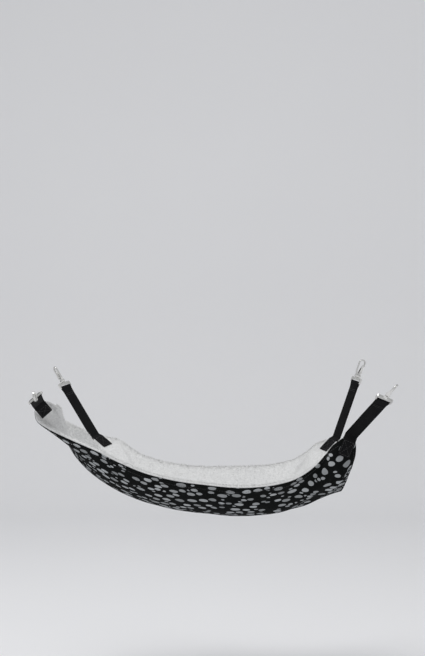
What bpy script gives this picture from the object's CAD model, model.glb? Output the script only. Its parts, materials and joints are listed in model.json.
"""Looks of the hanging cat hammock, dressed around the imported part.

Metres, +Z up. The cloth's shape repeats the formulas of the part's source, which are in
millimetres, so points are worked out in millimetres and scaled when a mesh is made.
"""
import json
import math

import bpy
import numpy as np
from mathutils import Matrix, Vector


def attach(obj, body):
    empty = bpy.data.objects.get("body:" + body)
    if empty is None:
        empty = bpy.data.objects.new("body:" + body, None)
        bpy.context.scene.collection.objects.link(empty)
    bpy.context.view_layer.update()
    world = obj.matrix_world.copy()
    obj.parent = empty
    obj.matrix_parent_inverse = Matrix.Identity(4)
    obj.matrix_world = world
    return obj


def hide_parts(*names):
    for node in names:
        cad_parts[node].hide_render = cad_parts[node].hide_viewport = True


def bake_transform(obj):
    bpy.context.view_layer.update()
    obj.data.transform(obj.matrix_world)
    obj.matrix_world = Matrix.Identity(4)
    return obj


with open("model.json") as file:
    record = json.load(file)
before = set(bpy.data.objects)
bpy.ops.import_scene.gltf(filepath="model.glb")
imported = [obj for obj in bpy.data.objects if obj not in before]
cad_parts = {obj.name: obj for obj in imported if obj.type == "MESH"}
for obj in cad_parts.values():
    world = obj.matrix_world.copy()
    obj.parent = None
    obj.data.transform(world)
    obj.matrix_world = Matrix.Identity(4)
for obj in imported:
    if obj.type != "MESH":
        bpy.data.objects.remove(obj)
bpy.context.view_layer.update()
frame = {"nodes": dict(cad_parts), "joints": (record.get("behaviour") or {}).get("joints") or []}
MM = 0.001
RNG = np.random.default_rng(7)

# Values of the part's source, in millimetres and degrees
SLING_L = 540.0
SLING_W = 330.0
SHELL_T = 1.2
FLEECE_T = 6.0
FLEECE_SEWN_T = 2.0
CORNER_DROP = 60.0
NEAR_SAG = 94.5
FAR_SAG = 51.0
BELLY_LEFT = 59.0
BELLY_RIGHT = 60.0
LEFT_END_SAG = 3.0
RIGHT_END_SAG = 82.0
LEFT_WALL = 21.0
RIGHT_WALL = 40.0
RIM_IN = 10.0
HOLD_R = 34.0
EASE_R = 100.0
STRAP_W = 20.0
STRAP_T = 1.4
STRAP_FREE = 104.0
TAIL_L = 27.0
NECK_L = 5.0
BAR_D = 3.2
SEAT_GAP = 0.35
BAR_PLAY = 0.08
LOW_SHARE = 0.51
RIM_POWER_LEFT = 2.3
RIM_POWER_RIGHT = 3.0
BELLY_POWER = 2.2
CURL_R = 8.0
SPRING_WIRE = 0.35
SPRING_R = 1.1
SPRING_LOW = -1.9
SPRING_PITCH = 0.805
SPRING_TURNS = 2
SPRING_GATE_LEG = 4.29
SPRING_CROWN_LEG = -2.25
CORNERS = ["near_left", "near_right", "far_left", "far_right"]
SIDE_X = [-1, 1, -1, 1]
SIDE_Y = [-1, -1, 1, 1]
CORNER_X = [-0.4726, 0.403, -0.3665, 0.4155]
CORNER_Y = [-0.2915, -0.2925, 0.6423, 0.6471]
CORNER_Z = [1.1391, 0.2718, -0.0388, -0.1136]
STRAP_HEADING = [276, 295, 160, 357]
STRAP_RISE = [7, 32.5, 56.1, 70.9]
STRAP_ROLL = [-138, -26, -26, 36]
SEWN_BEND = [26, -52, 25, 30]
RIM_GATHER = [0.45, 0.65, 0.65, 0.65]
END_GATHER = [0.3, 0.42, 0.65, 0.65]
RIM_CURL = [65, 80, 0, 0]
END_CURL = [0, 82, 0, 0]
# What follows from them: the blunt cut, the strap's fold and the middles of its two tails
BLUNT = STRAP_W / math.sqrt(2)
HINGE_L = NECK_L + 2 * STRAP_T + SEAT_GAP
FLAT_HALF = STRAP_W / 2 + FLEECE_SEWN_T
TAIL_UPPER = FLEECE_SEWN_T + SEAT_GAP + STRAP_T / 2
TAIL_LOWER = -SHELL_T - SEAT_GAP - STRAP_T / 2

# The scene's own values, in millimetres. The cloth's mesh:
FINE_LINES = [0, 0.25, 0.7, 1.3, 2.1, 3.1, 4.4, 6.0, 7.8]
EVEN_FROM = 10.0
LINE_PITCH = 2.3
SLOPE_STEP = 0.6
LAYER_GAP = 0.02
# Its slack waves, and the folds that fan out from each corner:
SLOW_WAVE = 1.3
SOFT_WAVE = 0.45
WAVE_EASE = 40.0
FAN_FOLD = [0.3, 1.9, 1.9, 1.9]
FAN_COUNT = 11
FAN_WANDER = 1.6
FAN_EASE = 30.0
FAN_FULL = 70.0
FAN_FADE = 120.0
# Its rim, with the seam's puckers:
RIM_TURN = 3.0
PUCKER_PITCH = 3.1
PUCKER_WANDER = 2.4
PUCKER_REACH = 9.0
PUCKER_EASE = 20.0
SHELL_PUCKER = 0.3
SHELL_ROUND = 2.4
SHELL_RIM_SHARE = 0.3
FLEECE_PUCKER = 0.5
FLEECE_ROUND = 5.0
FLEECE_RIM_T = 0.5
SWELL = 2.0
SWELL_REACH = 2.6
SWELL_EVEN = 0.6
SWELL_TUFT = 0.3
# The pile and its loose tufts:
PILE_FROM = 1.5
PILE_EASE = 16.0
TUFT_FROM = 1.0
TUFT_EASE = 8.0
TUFT_SHARES = [0.5, 0.45, 0.5]
TUFT_RELIEF = 0.15
BED_TUFTS = 9000
RIM_TUFTS = 14000
RIM_TUFT_DEPTH = 2.4
RIM_SIDES = [0.31, 0.19, 0.31, 0.19]
TUFT_INSET = 0.2
BED_INSET = 2
TUFT_CLEAR = 4
TUFT_OVER = 0.9
TUFT_OVER_REACH = 3.5
TUFT_STRAY = 0.5
TUFT_CURL = 0.5
TUFT_MID_CURL = 0.3
TUFT_TAPER = 0.8
TUFT_LENGTH = 1.4, 3.2
TUFT_HALF_W = 0.22, 0.42
TUFT_ROOT = 0.8
# The webbing's bends and mesh:
WEB_T = 1.3
TAIL_BEND = 0.5
NECK_BEND = 0.2
BEND_RADII = [2.0, 2.0, 1.6, 2.5]
LOOP_STEPS = 25
STRAP_STEP = 1.2
FACE_POINTS = 13
CAP_POINTS = 7
WANDER = 0.25
WANDER_GRAIN = 18
# The threads. A stitch's stations: place along it, height and thickness as shares of its radius.
STITCH_R = 0.32
STITCH_SIDES = 6
STITCH_FORM = [
    (0.0, -0.6, 0.5),
    (0.15, 0.35, 0.9),
    (0.5, 0.6, 1.0),
    (0.85, 0.35, 0.9),
    (1.0, -0.6, 0.5),
]
BOX_END_INSET = 2.5
BOX_SIDE_INSET = 2
TACK_ROWS = 13.5, 16.5
TACK_INSET = 1.6
TOPSTITCH_INSET = 8.0
TOPSTITCH_CLEAR = 2
TOPSTITCH_POINTS = 320, 200
# The springs' mesh:
COIL_STEPS = 64
WIRE_SIDES = 10
LEG_FROM = 0.1
GATE_LEG_POINTS = 8
CROWN_LEG_POINTS = 6

# Colours, the darker and the paler of each surface
SHELL_GROUND = (0.004, 0.0047, 0.0046), (0.0085, 0.0092, 0.009)
SHELL_DOTS = (0.40, 0.42, 0.435), (0.53, 0.545, 0.555)
FLEECE_PILE = (0.60, 0.60, 0.60), (0.78, 0.78, 0.775)
FLEECE_DULL = (0.63, 0.63, 0.635)
TUFT_PILE = (0.64, 0.64, 0.64), (0.80, 0.80, 0.79)
WEBBING_YARN = (0.0035, 0.0035, 0.004), (0.009, 0.009, 0.0098)
WEBBING_WORN = (0.012, 0.012, 0.013)
STAGE_PAPER = (0.82, 0.818, 0.83), (0.84, 0.838, 0.85)


class Corner:
    """One corner's tip and the axes of its strap and of its sewn cloth."""

    def __init__(self, k):
        heading, rise, roll, bend = (
            math.radians(table[k]) for table in (STRAP_HEADING, STRAP_RISE, STRAP_ROLL, SEWN_BEND)
        )
        self.bend = bend
        self.pull = np.array([
            math.cos(rise) * math.cos(heading),
            math.cos(rise) * math.sin(heading),
            math.sin(rise),
        ])
        level = np.array([-math.sin(heading), math.cos(heading), 0])
        self.across = level * math.cos(roll) + np.cross(self.pull, level) * math.sin(roll)
        self.face = np.cross(self.pull, self.across)
        self.sewn = self.pull * math.cos(bend) - self.face * math.sin(bend)
        self.sewn_face = np.cross(self.sewn, self.across)
        self.tip = np.array([
            CORNER_X[k] * SLING_L, CORNER_Y[k] * SLING_W, CORNER_Z[k] * CORNER_DROP
        ])
        self.hand = SIDE_X[k] * SIDE_Y[k]
        self.side_x = SIDE_X[k]
        self.side_y = SIDE_Y[k]
        self.gather = RIM_GATHER[k], END_GATHER[k]
        self.curl = math.radians(RIM_CURL[k]), math.radians(END_CURL[k])
        self.fan = FAN_FOLD[k]
        self.name = CORNERS[k]

    def on_cloth(self, x, y):
        """Distances along the strap's line and beside it, on the flat cloth."""
        end = x if self.side_x < 0 else SLING_L - x
        rim = y if self.side_y < 0 else SLING_W - y
        along = (end + rim - BLUNT) / math.sqrt(2)
        beside = self.hand * (end - rim) / math.sqrt(2)
        return along, beside

    def held(self, along, beside):
        """The cloth that the strap holds: flat under it, curling up beside it."""
        on_rim = beside * self.hand > 0
        curl = np.where(on_rim, *self.curl)
        spread = np.maximum(np.abs(beside) - FLAT_HALF, 0) * np.where(on_rim, *self.gather)
        bent = np.minimum(spread, CURL_R * curl)
        past = spread - bent
        side = np.minimum(np.abs(beside), FLAT_HALF)
        side = side + CURL_R * np.sin(bent / CURL_R) + past * np.cos(curl)
        side = np.sign(beside) * side
        rise = CURL_R * (1 - np.cos(bent / CURL_R)) + past * np.sin(curl)
        flat = self.tip - self.sewn * along[..., None] + self.across * side[..., None]
        return flat + self.sewn_face * rise[..., None]

    def from_tail(self, x, y):
        """Distance from the strap's sewn tail, on the flat cloth."""
        along, beside = self.on_cloth(x, y)
        past_end = np.maximum(along - TAIL_L, 0)
        past_side = np.maximum(np.abs(beside) - STRAP_W / 2, 0)
        return np.hypot(past_end, past_side)


corners = [Corner(k) for k in range(4)]

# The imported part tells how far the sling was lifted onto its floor
first_fold = next(j for j in frame["joints"] if j["name"] == "strap_fold_near_left")
lift = np.array(first_fold["pos_m"]) / MM - corners[0].tip - corners[0].sewn * HINGE_L
for corner in corners:
    corner.tip = corner.tip + lift
    corner.fold = corner.tip + corner.sewn * HINGE_L


# The cloth's shape

def ease(t):
    """A smooth step from 0 to 1."""
    c = np.clip(t, 0, 1)
    return c * c * (3 - 2 * c)


def sagged(x, y):
    """The free cloth: its rims sag between the corners' tips, and a belly hangs between the rims."""
    u = np.clip(x / SLING_L, 0, 1)[..., None]
    v = np.clip(y / SLING_W, 0, 1)[..., None]
    tips = [c.tip for c in corners]
    base = (tips[0] * (1 - u) + tips[1] * u) * (1 - v) + (tips[2] * (1 - u) + tips[3] * u) * v
    u = u[..., 0]
    v = v[..., 0]
    left = 1 - np.abs(1 - u / LOW_SHARE) ** RIM_POWER_LEFT
    right = 1 - np.abs((u - LOW_SHARE) / (1 - LOW_SHARE)) ** RIM_POWER_RIGHT
    rims = (NEAR_SAG * (1 - v) + FAR_SAG * v) * np.where(u < LOW_SHARE, left, right)
    full = BELLY_LEFT * (1 - u) + BELLY_RIGHT * u
    belly = (
        full
        - (full - LEFT_END_SAG) * np.exp(-u * SLING_L / LEFT_WALL)
        - (full - RIGHT_END_SAG) * np.exp((u - 1) * SLING_L / RIGHT_WALL)
    )
    depth = belly * (1 - np.abs(2 * v - 1) ** BELLY_POWER)
    base[..., 1] += RIM_IN * 4 * u * (1 - u) * (1 - 2 * v)
    base[..., 2] -= rims + depth
    return base


def hung(x, y):
    """The free cloth, drawn over to what each strap holds near its corner."""
    total = sagged(x, y)
    shares = 0
    held = 0
    for c in corners:
        along, beside = c.on_cloth(x, y)
        share = 1 - ease((np.hypot(along, beside) - HOLD_R) / (EASE_R - HOLD_R))
        held = held + c.held(along, beside) * share[..., None]
        shares = shares + share
    return total * (1 - shares)[..., None] + held


class Noise:
    """Smooth seeded noise on the flat cloth, from -1 to 1, with the given grain in millimetres."""

    CELLS = 256
    SHIFT = 900

    def __init__(self, grain, stretch=1.0):
        self.grain = np.array([grain * stretch, grain])
        self.values = RNG.uniform(-1, 1, (self.CELLS, self.CELLS))

    def __call__(self, x, y):
        p = (x + self.SHIFT) / self.grain[0]
        q = (y + self.SHIFT) / self.grain[1]
        i = np.floor(p).astype(int)
        j = np.floor(q).astype(int)
        s = ease(p - i)
        t = ease(q - j)
        i_on, j_on = (i + 1) % self.CELLS, (j + 1) % self.CELLS
        i, j = i % self.CELLS, j % self.CELLS
        low = self.values[i, j] * (1 - s) + self.values[i_on, j] * s
        top = self.values[i, j_on] * (1 - s) + self.values[i_on, j_on] * s
        return low * (1 - t) + top * t


slow_waves = Noise(70, 1.6)
soft_waves = Noise(26, 1.3)
fold_phase = Noise(60)
pucker_phase = Noise(34)
tuft_waves = [Noise(5.5), Noise(3.2), Noise(13)]


def away_from_corners(x, y):
    """Distance from the nearest corner, on the flat cloth."""
    return np.min([np.hypot(*c.on_cloth(x, y)) for c in corners], axis=0)


def from_tails(x, y):
    """Distance from the nearest strap's sewn tail, on the flat cloth."""
    return np.min([c.from_tail(x, y) for c in corners], axis=0)


def folds(x, y):
    """How far the cloth stands off its plain shape: slack waves, and folds that fan from the corners."""
    free = ease((away_from_corners(x, y) - HOLD_R) / WAVE_EASE)
    out = free * (SLOW_WAVE * slow_waves(x, y) + SOFT_WAVE * soft_waves(x, y))
    for c in corners:
        along, beside = c.on_cloth(x, y)
        reach = np.hypot(along, beside)
        angle = np.arctan2(beside, along)
        fade = ease((reach - HOLD_R) / FAN_EASE) * (1 - ease((reach - FAN_FULL) / FAN_FADE))
        out = out + c.fan * fade * np.sin(FAN_COUNT * angle + FAN_WANDER * fold_phase(x, y) + c.side_x)
    return out


def graded_lines(size, pitch):
    """Lines across the cloth: fine at both rims, then evenly spaced."""
    count = int((size - 2 * EVEN_FROM) / pitch) + 1
    middle = np.linspace(EVEN_FROM, size - EVEN_FROM, count)
    return np.concatenate([FINE_LINES, middle, [size - d for d in reversed(FINE_LINES)]])


def cut_corners(x, y):
    """Draws the square grid in behind the blunt cut of each corner."""
    a = np.minimum(x, SLING_L - x)
    b = np.minimum(y, SLING_W - y)
    inside = (a < BLUNT) & (b < BLUNT)
    shift = (BLUNT - np.maximum(a, b)) / 2 * (1 - np.minimum(a, b) / BLUNT) * inside
    to_x = np.where(x < SLING_L / 2, shift, -shift)
    to_y = np.where(y < SLING_W / 2, shift, -shift)
    return x + to_x, y + to_y


class Patch:
    """The hung cloth at points of the square grid: the face where shell and fleece meet."""

    def __init__(self, square_x, square_y):
        x, y = cut_corners(square_x, square_y)
        self.flat = np.stack([x, y], -1)
        along_x = hung(x + SLOPE_STEP, y) - hung(x - SLOPE_STEP, y)
        along_y = hung(x, y + SLOPE_STEP) - hung(x, y - SLOPE_STEP)
        normal = np.cross(along_x, along_y)
        self.normal = normal / np.linalg.norm(normal, axis=-1, keepdims=True)
        self.middle = hung(x, y) + self.normal * folds(x, y)[..., None]
        self.loose = ease((away_from_corners(x, y) - HOLD_R) / PUCKER_EASE)
        end = np.minimum(square_x, SLING_L - square_x)
        rim = np.minimum(square_y, SLING_W - square_y)
        self.edge = np.minimum(end, rim)
        # Out over the nearest rim, in the cloth's own plane
        to_left = np.exp(-square_x / RIM_TURN) - np.exp(-(SLING_L - square_x) / RIM_TURN)
        to_near = np.exp(-square_y / RIM_TURN) - np.exp(-(SLING_W - square_y) / RIM_TURN)
        outward = -(along_x * to_left[..., None] + along_y * to_near[..., None])
        self.outward = outward / (np.linalg.norm(outward, axis=-1, keepdims=True) + 1e-9)
        # The rim's seam draws the cloth into small puckers
        way = np.where(end < rim, square_y, square_x)
        wave = np.sin(way / PUCKER_PITCH + PUCKER_WANDER * pucker_phase(x, y))
        self.pucker = wave * np.exp(-self.edge / PUCKER_REACH) * self.loose

    def rounding(self, radius):
        """From 0 on the rim to 1 at the radius, as a quarter circle rises."""
        return np.sqrt(1 - (1 - np.minimum(self.edge / radius, 1)) ** 2)

    def shell_low(self):
        """The shell's outer face."""
        turned = self.rounding(SHELL_ROUND)
        thick = SHELL_T * (SHELL_RIM_SHARE + (1 - SHELL_RIM_SHARE) * turned)
        return self.middle - self.normal * (thick + SHELL_PUCKER * self.pucker * turned)[..., None]

    def pile(self):
        """Thickness of the pile, pressed flat under the straps, and the relief of its tufts."""
        x, y = self.flat[..., 0], self.flat[..., 1]
        beside_tail = from_tails(x, y)
        full = FLEECE_SEWN_T + (FLEECE_T - FLEECE_SEWN_T) * ease((beside_tail - PILE_FROM) / PILE_EASE)
        tuft = sum(share * waves(x, y) for share, waves in zip(TUFT_SHARES, tuft_waves))
        return full, tuft * ease((beside_tail - TUFT_FROM) / TUFT_EASE)

    def fleece_top(self):
        """The pile's face, rounded over the rim and swelling out past it."""
        full, tuft = self.pile()
        turned = self.rounding(FLEECE_ROUND)
        height = FLEECE_RIM_T + (full - FLEECE_RIM_T) * turned * (1 + TUFT_RELIEF * tuft)
        height = height + FLEECE_PUCKER * self.pucker * turned
        swell = SWELL * np.exp(-self.edge / SWELL_REACH) * self.loose * (SWELL_EVEN + SWELL_TUFT * tuft)
        return self.middle + self.normal * height[..., None] + self.outward * swell[..., None]


def unstretched(points):
    """Distances along the grid's lines from its middle, so that a print isn't drawn out."""
    steps_x = np.linalg.norm(np.diff(points, axis=0), axis=-1)
    steps_y = np.linalg.norm(np.diff(points, axis=1), axis=-1)
    u = np.pad(np.cumsum(steps_x, axis=0), ((1, 0), (0, 0)))
    v = np.pad(np.cumsum(steps_y, axis=1), ((0, 0), (1, 0)))
    u -= u[len(u) // 2]
    v -= v[:, v.shape[1] // 2, None]
    return np.stack([u, v], -1)


# Meshes

def new_object(name, points, faces, material, uv=None):
    """A smooth mesh object from points in millimetres and faces, with UVs given per point."""
    mesh = bpy.data.meshes.new(name)
    mesh.from_pydata((np.asarray(points) * MM).tolist(), [], faces)
    mesh.polygons.foreach_set("use_smooth", [True] * len(mesh.polygons))
    if uv is not None:
        layer = mesh.uv_layers.new(name="flat")
        loops = np.empty(len(mesh.loops), int)
        mesh.loops.foreach_get("vertex_index", loops)
        layer.data.foreach_set("uv", np.asarray(uv)[loops].astype(np.float32).ravel())
    mesh.materials.append(material)
    mesh.update()
    obj = bpy.data.objects.new(name, mesh)
    bpy.context.scene.collection.objects.link(obj)
    return obj


def closed_sheet(name, low, top, flat, material):
    """A closed sheet between two layers of one grid."""
    rows, cols = low.shape[:2]
    count = rows * cols
    index = np.arange(count).reshape(rows, cols)
    a, b = index[:-1, :-1].ravel(), index[1:, :-1].ravel()
    c, d = index[1:, 1:].ravel(), index[:-1, 1:].ravel()
    faces = np.concatenate([np.stack([a, d, c, b], 1), np.stack([a, b, c, d], 1) + count])
    rim = np.concatenate([index[:, 0], index[-1, 1:], index[-2::-1, -1], index[0, -2:0:-1]])
    after = np.roll(rim, -1)
    walls = np.stack([rim, after, after + count, rim + count], 1)
    points = np.concatenate([low.reshape(-1, 3), top.reshape(-1, 3)])
    uv = np.concatenate([flat.reshape(-1, 2)] * 2) * MM
    return new_object(name, points, np.concatenate([faces, walls]).tolist(), material, uv)


def run_lengths(points):
    """The length of a polyline from its start to each of its points."""
    return np.concatenate([[0], np.cumsum(np.linalg.norm(np.diff(points, axis=0), axis=1))])


def directions(points):
    """The way that a polyline runs at each of its points."""
    way = np.gradient(points, axis=0)
    return way / np.linalg.norm(way, axis=1, keepdims=True)


class Threads:
    """Many short stitches gathered into one mesh."""

    def __init__(self):
        self.points = []
        self.faces = []

    def stitch(self, start, end, normal, radius):
        way = (end - start) / np.linalg.norm(end - start)
        side = np.cross(way, normal)
        sides = STITCH_SIDES
        base = len(self.points)
        for place, rise, share in STITCH_FORM:
            middle = start + (end - start) * place + normal * rise * radius
            for s in range(sides):
                turn = 2 * math.pi * s / sides
                ring = side * math.cos(turn) + normal * math.sin(turn)
                self.points.append(middle + ring * radius * share)
        last = base + (len(STITCH_FORM) - 1) * sides
        for a in range(base, last, sides):
            for s in range(sides):
                n = (s + 1) % sides
                self.faces.append([a + s, a + n, a + sides + n, a + sides + s])
        self.faces.append([base + s for s in reversed(range(sides))])
        self.faces.append([last + s for s in range(sides)])

    def run(self, points, normals, length=2.5, gap=0.8, radius=STITCH_R):
        """Stitches along a polyline, with a normal at each of its points."""
        points = np.asarray(points, float)
        normals = np.broadcast_to(np.asarray(normals, float), points.shape)
        reach = run_lengths(points)

        def at(table, s):
            return np.array([np.interp(s, reach, table[:, i]) for i in range(3)])

        count = max(1, int(reach[-1] / (length + gap)))
        pitch = reach[-1] / count
        for n in range(count):
            s = n * pitch + gap / 2
            normal = at(normals, s + length / 2)
            end = min(s + pitch - gap, reach[-1])
            self.stitch(at(points, s), at(points, end), normal / np.linalg.norm(normal), radius)

    def build(self, name, material):
        return new_object(name, self.points, self.faces, material)


# Materials

class Shader:
    """Builds one node material round a Principled shader."""

    def __init__(self, name, colour, roughness, **sockets):
        self.material = bpy.data.materials.new(name)
        self.material.use_nodes = True
        self.tree = self.material.node_tree
        self.bsdf = self.tree.nodes["Principled BSDF"]
        self.bsdf.inputs["Base Color"].default_value = (*colour, 1)
        self.bsdf.inputs["Roughness"].default_value = roughness
        for socket, value in sockets.items():
            self.bsdf.inputs[socket.replace("_", " ")].default_value = value

    def node(self, kind, inputs=None, **settings):
        made = self.tree.nodes.new("ShaderNode" + kind)
        for key, value in settings.items():
            setattr(made, key, value)
        for key, value in (inputs or {}).items():
            if isinstance(value, bpy.types.NodeSocket):
                self.tree.links.new(value, made.inputs[key])
            else:
                made.inputs[key].default_value = value
        return made

    def link(self, output, socket):
        self.tree.links.new(output, self.bsdf.inputs[socket])

    def flat(self, scale=1.0):
        """The flat cloth's coordinates, in metres times scale."""
        uv = self.node("UVMap", uv_map="flat").outputs["UV"]
        return self.vector("SCALE", uv, scale)

    def place(self):
        return self.node("TexCoord").outputs["Object"]

    def noise(self, scale, vector=None, detail=3.0, roughness=0.55):
        inputs = {"Scale": scale, "Detail": detail, "Roughness": roughness}
        inputs["Vector"] = vector or self.place()
        return self.node("TexNoise", inputs).outputs["Fac"]

    def math(self, operation, a, b=0.5):
        return self.node("Math", {0: a, 1: b}, operation=operation).outputs[0]

    def vector(self, operation, a, b):
        """A vector worked on by another, or scaled by a number."""
        inputs = {0: a, "Scale" if operation == "SCALE" else 1: b}
        return self.node("VectorMath", inputs, operation=operation).outputs[0]

    def remap(self, value, from_low, from_high, to_low=0.0, to_high=1.0, smooth=False):
        inputs = {
            "Value": value, "From Min": from_low, "From Max": from_high,
            "To Min": to_low, "To Max": to_high,
        }
        kind = "SMOOTHSTEP" if smooth else "LINEAR"
        return self.node("MapRange", inputs, interpolation_type=kind).outputs["Result"]

    def mix(self, factor, a, b):
        made = self.node("Mix", {}, data_type="RGBA")
        for socket, value in ((made.inputs[0], factor), (made.inputs[6], a), (made.inputs[7], b)):
            if isinstance(value, bpy.types.NodeSocket):
                self.tree.links.new(value, socket)
            else:
                socket.default_value = (*value, 1) if isinstance(value, tuple) else value
        return made.outputs[2]

    def bump(self, height, distance, strength):
        made = self.node("Bump", {"Height": height, "Distance": distance, "Strength": strength})
        self.link(made.outputs["Normal"], "Normal")


def shell_material():
    """Dark brushed cloth with pale dots of mixed sizes."""
    m = Shader("shell_cloth", (0.006, 0.007, 0.0068), 0.95, Specular_IOR_Level=0.05)

    def scattered(pitch, shift, least, most):
        """A scattered print: how far a point lies inside the nearest dot, and that dot's random numbers.

        The pitch is in metres, and the least and the most radius are shares of it.
        """
        # Stretched and turned, so that the dots stand in no rows
        stretch = 0.76, 1.12, 1
        turn = 0.55
        randomness = 0.76
        # Wobbled, so that they aren't true circles, and kept apart
        wobble_scale = 1.7
        wobble_size = 0.2
        room_share = 0.86
        spread = m.vector("MULTIPLY", m.flat(1 / pitch), stretch)
        turned = {"Vector": spread, "Angle": turn}
        spread = m.node("VectorRotate", turned, rotation_type="Z_AXIS").outputs[0]
        spread = m.vector("ADD", spread, (shift, shift * 0.6, 0))
        waves = {"Vector": spread, "Scale": wobble_scale, "Detail": 1.0}
        wobble = m.vector("SCALE", m.node("TexNoise", waves).outputs["Color"], wobble_size)
        spread = m.vector("ADD", spread, wobble)
        inputs = {"Vector": spread, "Scale": 1.0, "Randomness": randomness}
        cell = m.node("TexVoronoi", inputs, voronoi_dimensions="2D", feature="F1")
        room = m.node("TexVoronoi", inputs, voronoi_dimensions="2D", feature="N_SPHERE_RADIUS")
        pick = m.node("SeparateColor", {"Color": cell.outputs["Color"]}).outputs
        free = m.math("MULTIPLY", room.outputs["Radius"], room_share)
        size = m.math("MINIMUM", m.remap(pick[0], 0, 1, least, most), free)
        return m.math("SUBTRACT", size, cell.outputs["Distance"]), pick

    large_edge = 0.014
    small_edge = 0.02
    left_out = 0.62
    keep_clear = 0.17
    large, pick = scattered(pitch=0.0165, shift=0, least=0.22, most=0.36)
    dots = m.remap(large, -large_edge, large_edge, smooth=True)
    tone = m.remap(pick[2], 0, 1, 0.52, 1.0)
    small, pick = scattered(pitch=0.0125, shift=11.3, least=0.13, most=0.22)
    small = m.remap(small, -small_edge, small_edge, smooth=True)
    small = m.math("MULTIPLY", small, m.math("GREATER_THAN", pick[1], left_out))
    small = m.math("MULTIPLY", small, m.math("LESS_THAN", large, -keep_clear))
    dots = m.math("MULTIPLY", m.math("MAXIMUM", dots, small), tone)
    print_wear = m.remap(m.noise(900, m.flat()), 0.3, 0.6, 0.78, 1.0)
    dots = m.math("MULTIPLY", dots, print_wear)
    shade = m.noise(38, m.flat())
    ground = m.mix(shade, *SHELL_GROUND)
    pale = m.mix(shade, *SHELL_DOTS)
    m.link(m.mix(dots, ground, pale), "Base Color")
    nap = m.noise(2600, m.flat(), 4.0)
    knit = m.noise(700, m.flat(), 2.0)
    m.bump(m.math("ADD", nap, m.math("MULTIPLY", knit, 0.8)), distance=0.0004, strength=0.5)
    return m.material


def fleece_material():
    """White short pile, a little greyer between the tufts."""
    m = Shader("fleece", (0.74, 0.74, 0.73), 1.0, Sheen_Weight=0.35, Sheen_Roughness=0.6)
    clumps = m.noise(260, m.flat(), 5.0, 0.65)
    broad = m.noise(22, m.flat(), 2.0)
    tint = m.mix(m.remap(clumps, 0.3, 0.7), *FLEECE_PILE)
    m.link(m.mix(m.remap(broad, 0.35, 0.7, 0, 0.35), tint, FLEECE_DULL), "Base Color")
    inputs = {"Vector": m.flat(420), "Scale": 1.0}
    cells = m.node("TexVoronoi", inputs, voronoi_dimensions="2D").outputs["Distance"]
    fibre = m.noise(900, m.flat(), 5.0, 0.7)
    height = m.math("SUBTRACT", fibre, m.math("MULTIPLY", cells, 0.5))
    m.bump(height, distance=0.0016, strength=0.7)
    return m.material


def tuft_material():
    """The same pile, for the loose tufts, which have no flat coordinates."""
    m = Shader("fleece_tuft", (0.76, 0.76, 0.75), 1.0, Sheen_Weight=0.3, Sheen_Roughness=0.6)
    m.link(m.mix(m.noise(300), *TUFT_PILE), "Base Color")
    return m.material


def webbing_material():
    """Black woven webbing: ribs along it, crossed by the weft."""
    m = Shader("webbing", (0.007, 0.007, 0.0075), 0.8, Specular_IOR_Level=0.08)
    uv = m.node("UVMap", uv_map="flat").outputs["UV"]
    parts = m.node("SeparateXYZ", {0: uv})
    weft_pitch = 0.0017
    rib_pitch = 0.0025
    weft_lag = 1.6
    along = m.math("MULTIPLY", parts.outputs[0], 2 * math.pi / weft_pitch)
    across = m.math("SINE", m.math("MULTIPLY", parts.outputs[1], math.pi / rib_pitch))
    rib = m.math("ABSOLUTE", across)
    flip = m.math("SIGN", across)
    weft = m.math("SINE", m.math("ADD", along, m.math("MULTIPLY", flip, weft_lag)))
    weave = m.math("MULTIPLY", m.remap(weft, -1, 1), rib)
    fibre = m.noise(3200, uv, 3.0)
    height = m.math("ADD", weave, m.math("MULTIPLY", fibre, 0.25))
    tint = m.mix(m.remap(height, -0.2, 0.9), *WEBBING_YARN)
    worn = m.remap(m.noise(60, uv), 0.4, 0.75, 0, 0.4)
    m.link(m.mix(worn, tint, WEBBING_WORN), "Base Color")
    m.bump(height, distance=0.00035, strength=0.8)
    return m.material


def scaled(colour, share):
    return tuple(c * share for c in colour)


def nickel_material(name, colour, roughness):
    """Bright nickel plate over a casting: soft ripples, handling marks and bright edges."""
    m = Shader(name, colour, roughness, Metallic=1.0)
    smudge = m.noise(260, None, 4.0, 0.6)
    fine = m.noise(2600, None, 2.0)
    m.link(m.remap(smudge, 0.3, 0.7, roughness * 0.75, roughness * 1.5), "Roughness")
    worn = m.remap(m.node("NewGeometry").outputs["Pointiness"], 0.5, 0.6)
    plate = m.mix(m.remap(smudge, 0.35, 0.7), colour, scaled(colour, 0.8))
    m.link(m.mix(worn, plate, scaled(colour, 1.15)), "Base Color")
    m.bump(m.math("ADD", smudge, m.math("MULTIPLY", fine, 0.2)), distance=0.00012, strength=0.35)
    return m.material


def thread_material(name, colour):
    """Sewing thread with a soft twist."""
    m = Shader(name, colour, 0.55, Sheen_Weight=0.1)
    m.link(m.mix(m.noise(1800), scaled(colour, 0.6), scaled(colour, 1.4)), "Base Color")
    m.bump(m.noise(5200, None, 2.0), distance=0.0001, strength=0.6)
    return m.material


shell_cloth = shell_material()
fleece_cloth = fleece_material()
fleece_tuft = tuft_material()
webbing = webbing_material()
thread_dark = thread_material("thread_dark", (0.014, 0.014, 0.015))
nickel = nickel_material("nickel", (0.66, 0.655, 0.64), 0.2)
steel = nickel_material("spring_steel", (0.52, 0.52, 0.53), 0.3)


# The sling

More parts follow.
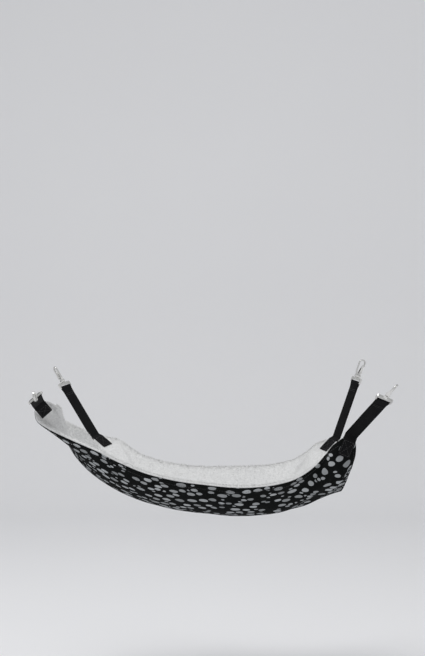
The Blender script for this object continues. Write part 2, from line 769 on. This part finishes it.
lines_x = graded_lines(SLING_L, LINE_PITCH)
lines_y = graded_lines(SLING_W, LINE_PITCH)
cloth = Patch(*np.meshgrid(lines_x, lines_y, indexing="ij"))
print_place = unstretched(cloth.middle)
between = cloth.normal * LAYER_GAP
shell = closed_sheet("shell", cloth.shell_low(), cloth.middle - between, print_place, shell_cloth)
fleece = closed_sheet("fleece", cloth.middle + between, cloth.fleece_top(), print_place, fleece_cloth)


def rim_spots(count):
    """Points close behind the sling's rim, spread all the way round."""
    depth = RNG.exponential(RIM_TUFT_DEPTH, count) + TUFT_INSET
    way = RNG.uniform(0, 1, count)
    side = RNG.choice(4, count, p=RIM_SIDES)
    x = np.select([side == 1, side == 3], [SLING_L - depth, depth], way * SLING_L)
    y = np.select([side == 0, side == 2], [depth, SLING_W - depth], way * SLING_W)
    return x, y


def fleece_tufts(inner, rim):
    """Short loose tufts of pile, over the bed and thickest along the rim."""
    bed_x = RNG.uniform(BED_INSET, SLING_L - BED_INSET, inner)
    bed_y = RNG.uniform(BED_INSET, SLING_W - BED_INSET, inner)
    spots = np.concatenate([(bed_x, bed_y), rim_spots(rim)], axis=1)
    x = np.clip(spots[0], TUFT_INSET, SLING_L - TUFT_INSET)
    y = np.clip(spots[1], TUFT_INSET, SLING_W - TUFT_INSET)
    clear = from_tails(x, y) > TUFT_CLEAR
    patch = Patch(x[clear], y[clear])
    count = clear.sum()
    base = patch.fleece_top()
    over = (TUFT_OVER * np.exp(-patch.edge / TUFT_OVER_REACH))[:, None]
    stray = RNG.normal(0, TUFT_STRAY, (count, 3))
    way = patch.normal * (1 - over / 2) + patch.outward * over + stray
    way /= np.linalg.norm(way, axis=1, keepdims=True)
    length = RNG.uniform(*TUFT_LENGTH, (count, 1))
    side = np.cross(way, RNG.normal(0, 1, (count, 3)))
    side *= RNG.uniform(*TUFT_HALF_W, (count, 1)) / np.linalg.norm(side, axis=1, keepdims=True)
    curl = RNG.normal(0, TUFT_CURL, (count, 3))
    root = base - way * TUFT_ROOT
    middle = base + way * length / 2 + curl * TUFT_MID_CURL
    points = np.stack([
        root - side,
        root + side,
        middle + side * TUFT_TAPER,
        middle - side * TUFT_TAPER,
        base + way * length + curl,
    ], axis=1)
    first = np.arange(count)[:, None] * points.shape[1]
    quads = (first + [0, 1, 2, 3]).tolist()
    tips = (first + [3, 2, 4]).tolist()
    return new_object("fleece_tufts", points.reshape(-1, 3), quads + tips, fleece_tuft)


tufts = fleece_tufts(BED_TUFTS, RIM_TUFTS)


# One webbing strap to a corner: out from the seam, round the eye's bar and back to the seam

def rounded(points, radii, steps=6):
    """A polyline with its corners rounded off."""
    path = [points[0]]
    for before, corner, after, radius in zip(points, points[1:], points[2:], radii):
        back = (before - corner) / np.linalg.norm(before - corner)
        on = (after - corner) / np.linalg.norm(after - corner)
        for t in np.linspace(0, 1, steps):
            path.append(corner + back * radius * (1 - t) ** 2 + on * radius * t ** 2)
    path.append(points[-1])
    return path


def strap_path(bend):
    """The strap's middle line from tail to tail, seen along its width, with the fold at 0, 0."""
    half = STRAP_T / 2
    bar_r = BAR_D / 2 + BAR_PLAY
    mid_r = bar_r + half
    meet = 3 * (bar_r + STRAP_T)
    lean = math.asin(bar_r / meet)
    turn = np.array([[math.cos(bend), math.sin(bend)], [-math.sin(bend), math.cos(bend)]])

    def sewn(s, h):
        return turn @ np.array([s - HINGE_L, h])

    def bent(place, h, one, two):
        """The corner of a line that keeps h beside two normals in turn."""
        return place + h * (one + two) / (1 + one @ two)

    up = np.array([0.0, 1.0])
    out = np.array([-math.sin(lean), math.cos(lean)])
    seam = turn @ up
    bar = np.array([STRAP_FREE, 0.0])
    parting = np.array([STRAP_FREE - meet, 0.0])
    flip = np.array([1.0, -1.0])
    upper = [
        sewn(-TAIL_L, TAIL_UPPER),
        sewn(-TAIL_BEND, TAIL_UPPER),
        sewn(NECK_L - NECK_BEND, half),
        bent(np.zeros(2), half, seam, up),
        bent(parting, half, up, out),
        bar + out * mid_r,
    ]
    lower = [
        bar + out * flip * mid_r,
        bent(parting, half, up, out) * flip,
        bent(np.zeros(2), -half, seam, up),
        sewn(NECK_L - NECK_BEND, -half),
        sewn(-TAIL_BEND, TAIL_LOWER),
        sewn(-TAIL_L, TAIL_LOWER),
    ]
    turns = np.linspace(math.pi / 2 + lean, -math.pi / 2 - lean, LOOP_STEPS)[1:-1]
    loop = [bar + mid_r * np.array([math.cos(t), math.sin(t)]) for t in turns]
    path = rounded(upper, BEND_RADII) + loop + rounded(lower, BEND_RADII[::-1])
    return evened(np.array(path), STRAP_STEP)


def evened(path, longest):
    """The same polyline with its long stretches divided."""
    points = [path[0]]
    for start, end in zip(path, path[1:]):
        count = max(1, math.ceil(np.linalg.norm(end - start) / longest))
        for n in range(1, count + 1):
            points.append(start + (end - start) * n / count)
    return np.array(points)


def strap_section():
    """Points round the webbing's section: beside the middle, and off its face."""
    half_w = STRAP_W / 2
    half_t = WEB_T / 2
    face = np.linspace(-half_w + half_t, half_w - half_t, FACE_POINTS)
    cap = np.linspace(math.pi / 2, -math.pi / 2, CAP_POINTS)[1:-1]
    section = [(x, half_t) for x in face]
    section += [(half_w - half_t + half_t * math.cos(t), half_t * math.sin(t)) for t in cap]
    section += [(x, -half_t) for x in face[::-1]]
    section += [(-half_w + half_t - half_t * math.cos(t), -half_t * math.sin(t)) for t in cap]
    return np.array(section)


def make_strap(corner):
    """The webbing of one corner, both tails and the loop in one mesh."""
    path = strap_path(corner.bend)
    reach = run_lengths(path)
    section = strap_section()
    # The edges of the webbing wander a little
    wander = Noise(WANDER_GRAIN)(reach, reach * 0) * WANDER
    rings = []
    uv = []
    for place, along, s, drift in zip(path, directions(path), reach, wander):
        off = np.array([-along[1], along[0]])
        for beside, height in section:
            t, h = place + off * height
            middle = corner.fold + corner.pull * t + corner.face * h
            rings.append(middle + corner.across * beside * (1 + drift / STRAP_W))
            uv.append((s, beside + height))
    around = len(section)
    faces = []
    last = (len(path) - 1) * around
    for a in range(0, last, around):
        for j in range(around):
            n = (j + 1) % around
            faces.append([a + j, a + n, a + around + n, a + around + j])
    faces.append(list(range(around))[::-1])
    faces.append([last + j for j in range(around)])
    strap = new_object("webbing_" + corner.name, rings, faces, webbing, np.array(uv) * MM)
    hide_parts("strap_tail_" + corner.name, "strap_" + corner.name)
    way_on = corner.sewn + corner.pull
    way_on /= np.linalg.norm(way_on)
    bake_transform(strap)
    return strap


def tail_stitches(corner):
    """A boxed cross through each tail of a strap, on both of its outer faces."""
    threads = Threads()
    near = BOX_END_INSET
    far = TAIL_L - BOX_END_INSET
    half = STRAP_W / 2 - BOX_SIDE_INSET
    box = [(near, -half), (far, -half), (far, half), (near, half), (near, -half)]
    runs = [box, [(near, -half), (far, half)], [(near, half), (far, -half)]]
    for height, side in ((TAIL_UPPER + WEB_T / 2, 1), (TAIL_LOWER - WEB_T / 2, -1)):
        for run in runs:
            for a, b in zip(run, run[1:]):
                ends = [
                    corner.tip - corner.sewn * s + corner.across * w + corner.sewn_face * height
                    for s, w in (a, b)
                ]
                threads.run(ends, corner.sewn_face * side)
    piece = threads.build("tail_stitches_" + corner.name, thread_dark)
    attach(piece, "sling")


def loop_tacks(corner):
    """Rows of close stitches that shut the strap's loop beside the eye."""
    threads = Threads()
    half = STRAP_W / 2 - TACK_INSET
    for back in TACK_ROWS:
        row = corner.fold + corner.pull * (STRAP_FREE - back)
        for side in (1, -1):
            height = side * (STRAP_T / 2 + WEB_T / 2)
            ends = [row + corner.across * w + corner.face * height for w in (-half, half)]
            threads.run(ends, corner.face * side, length=1.5, gap=0.35, radius=0.3)
    piece = threads.build("loop_tacks_" + corner.name, thread_dark)
    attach(piece, "strap_" + corner.name)


for corner in corners:
    make_strap(corner)
    tail_stitches(corner)
    loop_tacks(corner)


def rim_stitches():
    """A topstitch round the shell's underside, close to its rim."""
    threads = Threads()
    xs = np.linspace(STRAP_W, SLING_L - STRAP_W, TOPSTITCH_POINTS[0])
    ys = np.linspace(STRAP_W, SLING_W - STRAP_W, TOPSTITCH_POINTS[1])
    sides = [
        (xs, np.full_like(xs, TOPSTITCH_INSET)),
        (np.full_like(ys, SLING_L - TOPSTITCH_INSET), ys),
        (xs, np.full_like(xs, SLING_W - TOPSTITCH_INSET)),
        (np.full_like(ys, TOPSTITCH_INSET), ys),
    ]
    for x, y in sides:
        clear = from_tails(x, y) > TOPSTITCH_CLEAR
        patch = Patch(x[clear], y[clear])
        threads.run(patch.shell_low(), -patch.normal, length=2.8, gap=0.9, radius=0.3)
    return threads.build("rim_stitches", thread_dark)


stitches = rim_stitches()
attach(stitches, "sling")

for piece, slot, node in ((shell, "shell_cloth", "sling_shell"), (fleece, "fleece", "sling_fleece")):
    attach(piece, "sling")
    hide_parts(node)
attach(tufts, "sling")

# The metal keeps its solids, apart from the springs, whose legs follow the gates
for name, node in frame["nodes"].items():
    if name.startswith(("swivel_eye", "hook", "gate")):
        node.data.materials.clear()
        node.data.materials.append(nickel)


def spring_path():
    """The wire about the pin's middle: the gate's leg, the coil round the rivet, the crown's leg."""
    coil = []
    for i in range(COIL_STEPS + 1):
        turn = -math.pi / 2 - 2 * math.pi * SPRING_TURNS * i / COIL_STEPS
        rise = SPRING_PITCH * SPRING_TURNS * i / COIL_STEPS
        coil.append((SPRING_R * math.cos(turn), SPRING_R * math.sin(turn), SPRING_LOW + rise))
    to_coil = np.linspace(1, LEG_FROM, GATE_LEG_POINTS)
    from_coil = np.linspace(LEG_FROM, 1, CROWN_LEG_POINTS)
    gate_leg = [(SPRING_GATE_LEG * t, -SPRING_R, SPRING_LOW) for t in to_coil]
    crown_leg = [(SPRING_CROWN_LEG * t, -SPRING_R, coil[-1][2]) for t in from_coil]
    return np.array(gate_leg + coil + crown_leg)


def make_spring(corner):
    """The spring of one gate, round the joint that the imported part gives."""
    joint = next(j for j in frame["joints"] if j["name"] == "gate_open_" + corner.name)
    pin = np.array(joint["pos_m"]) / MM
    up = np.array(joint["axis"], float)
    back = np.cross(up, corner.pull)
    path = spring_path()
    sides = WIRE_SIDES
    points = []
    for place, along in zip(path, directions(path)):
        side = np.cross(along, (0, 0, 1))
        side /= np.linalg.norm(side)
        rise = np.cross(side, along)
        for n in range(sides):
            turn = 2 * math.pi * n / sides
            x, y, z = place + (side * math.cos(turn) + rise * math.sin(turn)) * SPRING_WIRE / 2
            points.append(pin + corner.pull * x + back * y + up * z)
    faces = []
    for i in range(len(path) - 1):
        for n in range(sides):
            a = i * sides + n
            b = i * sides + (n + 1) % sides
            faces.append([a, a + sides, b + sides, b])
    last = (len(path) - 1) * sides
    faces.append(list(range(sides)))
    faces.append([last + n for n in reversed(range(sides))])
    spring = new_object("spring_" + corner.name, points, faces, steel)
    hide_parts("gate_spring_" + corner.name)
    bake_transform(spring)


for corner in corners:
    make_spring(corner)


# Stage, light and camera

def stage_material():
    """Pale matt paper."""
    m = Shader("stage", (0.83, 0.83, 0.84), 0.95)
    m.link(m.mix(m.noise(1.3, None, 2.0), *STAGE_PAPER), "Base Color")
    return m.material


def make_stage():
    """A pale floor that turns up into a backdrop."""
    floor_z = -300.0
    front_y = -3600.0
    back_y = 3000.0
    bend_r = 800.0
    top_z = 3600.0
    half_w = 3600.0
    bend_steps = 15
    profile = [(front_y, floor_z)]
    for t in np.linspace(0, math.pi / 2, bend_steps):
        profile.append((back_y - bend_r + bend_r * math.sin(t), floor_z + bend_r - bend_r * math.cos(t)))
    profile.append((back_y, top_z))
    points = []
    for y, z in profile:
        points += [(-half_w, y, z), (half_w, y, z)]
    faces = [[2 * i, 2 * i + 1, 2 * i + 3, 2 * i + 2] for i in range(len(profile) - 1)]
    new_object("stage", points, faces, stage_material())


def area_light(name, place, aim, size, power):
    lamp = bpy.data.lights.new(name, "AREA")
    lamp.shape = "DISK"
    lamp.size = size
    lamp.energy = power
    obj = bpy.data.objects.new(name, lamp)
    obj.location = place
    way = Vector(aim) - Vector(place)
    obj.rotation_euler = way.to_track_quat("-Z", "Y").to_euler()
    bpy.context.scene.collection.objects.link(obj)


make_stage()
area_light("key", place=(-0.7, -0.4, 2.2), aim=(0, 0, 0.1), size=1.5, power=27)
area_light("fill", place=(2.4, -3.0, 1.6), aim=(0, 0, 0.05), size=2.4, power=16)
world = bpy.data.worlds.new("studio")
world.use_nodes = True
background = world.node_tree.nodes["Background"]
background.inputs["Color"].default_value = (0.97, 0.985, 1.0, 1)
background.inputs["Strength"].default_value = 0.6
bpy.context.scene.world = world

lens = bpy.data.cameras.new("camera")
lens.lens = 65.03
lens.sensor_width = 36
camera = bpy.data.objects.new("camera", lens)
camera.location = (0.01213, -1.91137, 0.26684)
camera.rotation_euler = (math.radians(91.209), 0, math.radians(0.121))
bpy.context.scene.collection.objects.link(camera)
bpy.context.scene.camera = camera
bpy.context.scene.view_settings.view_transform = "Standard"
